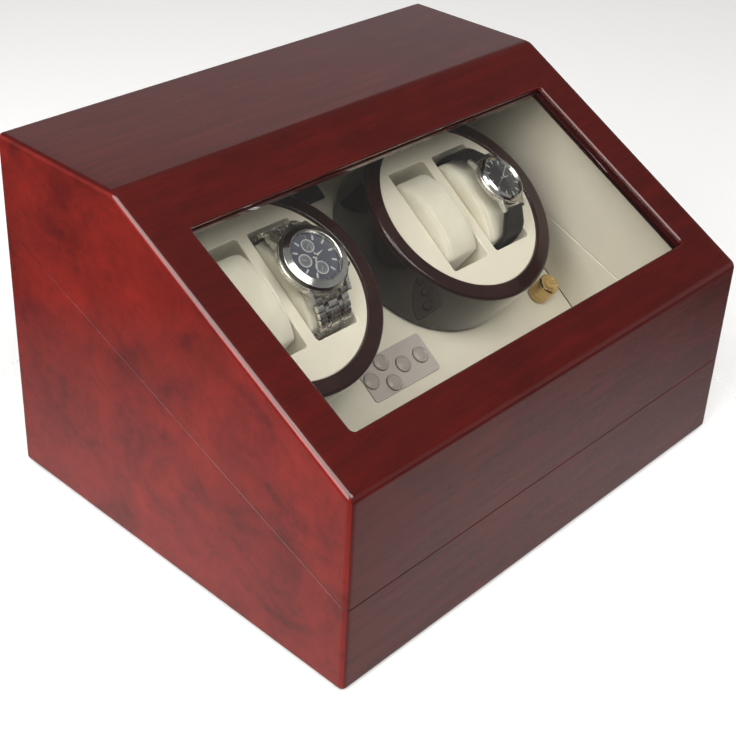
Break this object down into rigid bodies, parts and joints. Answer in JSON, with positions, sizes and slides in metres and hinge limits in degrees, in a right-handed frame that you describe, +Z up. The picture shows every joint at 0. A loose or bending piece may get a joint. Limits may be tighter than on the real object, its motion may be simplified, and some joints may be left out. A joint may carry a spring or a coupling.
{
  "type": "watch winder box",
  "caption": "Wedge-shaped lacquered box with a hinged glazed lid, an inclined deck with geared turntables, watch pillows in pockets, a keypad and brass thumbscrews.",
  "frame": {"origin": "centre of the footprint at the underside of the feet", "axes": "+X to the right along the width, +Y to the hinged back, +Z up"},
  "size_m": [0.34, 0.274, 0.218],
  "materials": {
    "cherry_lacquer": "high gloss lacquer over cherry-stained veneer, polished to a mirror gloss",
    "plain_wood": "bare sanded board",
    "ivory_leatherette": "smooth ivory leatherette, fine grain, low sheen",
    "cream_fabric": "soft cream velvet",
    "espresso_lacquer": "very dark brown, polished",
    "rim_lacquer": "dark red-brown, polished",
    "clear_glass": "clear float glass",
    "brass": "lathe-turned and lacquered",
    "zinc_steel": "zinc-plated",
    "watch_steel": "brushed with polished edges",
    "black_leather": "grained, semi-matte",
    "black_rubber": "matte",
    "keypad_grey": "satin grey",
    "key_silver": "silver-grey, satin dome",
    "motor_steel": "drawn can",
    "white_nylon": "moulded nylon",
    "circuit_board": "green solder mask",
    "smoked_acrylic": "polished dark panel",
    "black_plastic": "moulded"
  },
  "bodies": {
    "cabinet_base": {"base_back": "cherry_lacquer", "base_bottom": "plain_wood", "base_front": "cherry_lacquer", "base_lining_left": "ivory_leatherette", "base_lining_right": "ivory_leatherette", "base_screws": "zinc_steel", "base_side_left": "cherry_lacquer", "base_side_right": "cherry_lacquer", "control_board": "circuit_board", "corner_blocks": "plain_wood", "dc_jack": "black_plastic", "deck_panel": "ivory_leatherette", "deck_rails": "plain_wood", "display_window": "smoked_acrylic", "feet": "black_rubber", "gear_motor_left": "motor_steel", "gear_motor_right": "motor_steel", "hinge_leaves_base": "brass", "hinge_pins": "brass", "keypad_plate": "keypad_grey", "mechanism_plate": "zinc_steel", "spindle_bushes": "brass"},
    "lid": {"glazing_beads": "ivory_leatherette", "hinge_leaves_lid": "brass", "lid_back": "cherry_lacquer", "lid_front": "cherry_lacquer", "lid_lining_back": "ivory_leatherette", "lid_lining_left": "ivory_leatherette", "lid_lining_right": "ivory_leatherette", "lid_screws": "zinc_steel", "lid_side_left": "cherry_lacquer", "lid_side_right": "cherry_lacquer", "lid_top": "cherry_lacquer", "window_frame": "cherry_lacquer", "window_glass": "clear_glass"},
    "pillow_left_worn_body": {"chronograph_bracelet": "watch_steel", "chronograph_case": "watch_steel", "pillow_left_worn": "cream_fabric"},
    "pillow_right_worn_body": {"dress_watch_case": "watch_steel", "dress_watch_strap": "black_leather", "pillow_right_worn": "cream_fabric"},
    "turntable_left": {"drum_left": "espresso_lacquer", "face_left": "ivory_leatherette", "rim_left": "rim_lacquer", "turntable_gear_left": "white_nylon"},
    "turntable_right": {"drum_right": "espresso_lacquer", "face_right": "ivory_leatherette", "rim_right": "rim_lacquer", "turntable_gear_right": "white_nylon"},
    "key_down_body": {"key_down": "key_silver"},
    "key_left_body": {"key_left": "key_silver"},
    "key_mode_body": {"key_mode": "key_silver"},
    "key_right_body": {"key_right": "key_silver"},
    "key_up_body": {"key_up": "key_silver"},
    "motor_pinion_left_body": {"motor_pinion_left": "white_nylon"},
    "motor_pinion_right_body": {"motor_pinion_right": "white_nylon"},
    "pillow_left_empty_body": {"pillow_left_empty": "cream_fabric"},
    "pillow_right_empty_body": {"pillow_right_empty": "cream_fabric"},
    "thumbscrew_left_body": {"thumbscrew_left": "brass"},
    "thumbscrew_right_body": {"thumbscrew_right": "brass"}
  },
  "joints": [
    {"name": "lid_hinge", "type": "hinge", "parent": "cabinet_base", "child": "lid", "pos_m": [0, 0.1345, 0.16359], "axis": [-1, 0, 0], "range_deg": [0, 95]},
    {"name": "turntable_left_spin", "type": "hinge", "parent": "cabinet_base", "child": "turntable_left", "pos_m": [-0.0785, 0.037, 0.1012], "axis": [0, -0.5948, 0.8039], "continuous": true},
    {"name": "motor_pinion_left_spin", "type": "hinge", "parent": "cabinet_base", "child": "motor_pinion_left_body", "pos_m": [-0.0785, 0.01288, 0.08335], "axis": [0, -0.5948, 0.8039], "continuous": true},
    {"name": "pillow_left_empty_lift", "type": "slide", "parent": "turntable_left", "child": "pillow_left_empty_body", "axis": [0, -0.5948, 0.8039], "range_m": [0, 0.015]},
    {"name": "pillow_left_worn_lift", "type": "slide", "parent": "turntable_left", "child": "pillow_left_worn_body", "axis": [0, -0.5948, 0.8039], "range_m": [0, 0.015]},
    {"name": "thumbscrew_left_turn", "type": "hinge", "parent": "cabinet_base", "child": "thumbscrew_left_body", "pos_m": [-0.137, -0.01605, 0.06194], "axis": [0, -0.5948, 0.8039], "range_deg": [0, 720]},
    {"name": "turntable_right_spin", "type": "hinge", "parent": "cabinet_base", "child": "turntable_right", "pos_m": [0.0785, 0.037, 0.1012], "axis": [0, -0.5948, 0.8039], "continuous": true},
    {"name": "motor_pinion_right_spin", "type": "hinge", "parent": "cabinet_base", "child": "motor_pinion_right_body", "pos_m": [0.0785, 0.01288, 0.08335], "axis": [0, -0.5948, 0.8039], "continuous": true},
    {"name": "pillow_right_empty_lift", "type": "slide", "parent": "turntable_right", "child": "pillow_right_empty_body", "axis": [0, -0.5948, 0.8039], "range_m": [0, 0.015]},
    {"name": "pillow_right_worn_lift", "type": "slide", "parent": "turntable_right", "child": "pillow_right_worn_body", "axis": [0, -0.5948, 0.8039], "range_m": [0, 0.015]},
    {"name": "thumbscrew_right_turn", "type": "hinge", "parent": "cabinet_base", "child": "thumbscrew_right_body", "pos_m": [0.137, -0.01605, 0.06194], "axis": [0, -0.5948, 0.8039], "range_deg": [0, 720]},
    {"name": "key_up_press", "type": "slide", "parent": "cabinet_base", "child": "key_up_body", "axis": [0, 0.5948, -0.8039], "range_m": [0, 0.0008], "stiffness_N_per_m": 600, "springref_m": -0.0006},
    {"name": "key_right_press", "type": "slide", "parent": "cabinet_base", "child": "key_right_body", "axis": [0, 0.5948, -0.8039], "range_m": [0, 0.0008], "stiffness_N_per_m": 600, "springref_m": -0.0006},
    {"name": "key_down_press", "type": "slide", "parent": "cabinet_base", "child": "key_down_body", "axis": [0, 0.5948, -0.8039], "range_m": [0, 0.0008], "stiffness_N_per_m": 600, "springref_m": -0.0006},
    {"name": "key_left_press", "type": "slide", "parent": "cabinet_base", "child": "key_left_body", "axis": [0, 0.5948, -0.8039], "range_m": [0, 0.0008], "stiffness_N_per_m": 600, "springref_m": -0.0006},
    {"name": "key_mode_press", "type": "slide", "parent": "cabinet_base", "child": "key_mode_body", "axis": [0, 0.5948, -0.8039], "range_m": [0, 0.0008], "stiffness_N_per_m": 600, "springref_m": -0.0006}
  ],
  "couplings": [
    {"joint": "motor_pinion_left_spin", "follows": "turntable_left_spin", "ratio": -3},
    {"joint": "motor_pinion_right_spin", "follows": "turntable_right_spin", "ratio": -3}
  ]
}
